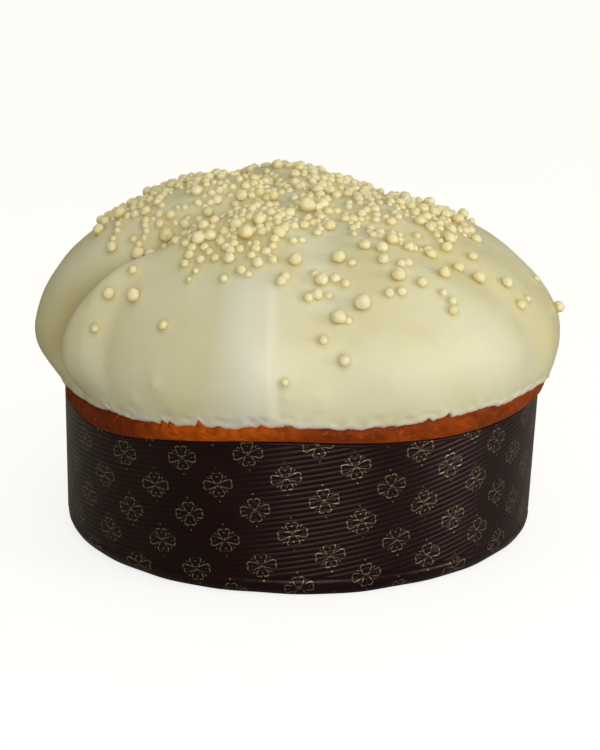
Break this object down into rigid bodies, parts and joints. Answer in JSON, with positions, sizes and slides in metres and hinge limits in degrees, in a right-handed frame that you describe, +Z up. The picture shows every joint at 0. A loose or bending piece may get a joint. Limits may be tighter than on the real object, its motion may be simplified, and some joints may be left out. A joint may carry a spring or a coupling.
{
  "type": "panettone",
  "caption": "Low domed panettone in a dark ribbed paper mould, coated with white chocolate icing and topped with crunchy chocolate pearls.",
  "frame": {"origin": "centre of the mould's flat bottom, where it rests", "axes": "+Z up through the dome, -Y towards the side shown in the picture, +X to that view's right"},
  "size_m": [0.2297, 0.2287, 0.1586],
  "materials": {
    "mould_paper": "satin",
    "crust": "satin",
    "white_icing": "satin"
  },
  "bodies": {
    "root": {"paper_mould": "mould_paper", "loaf": "crust", "icing": "white_icing"}
  },
  "joints": []
}
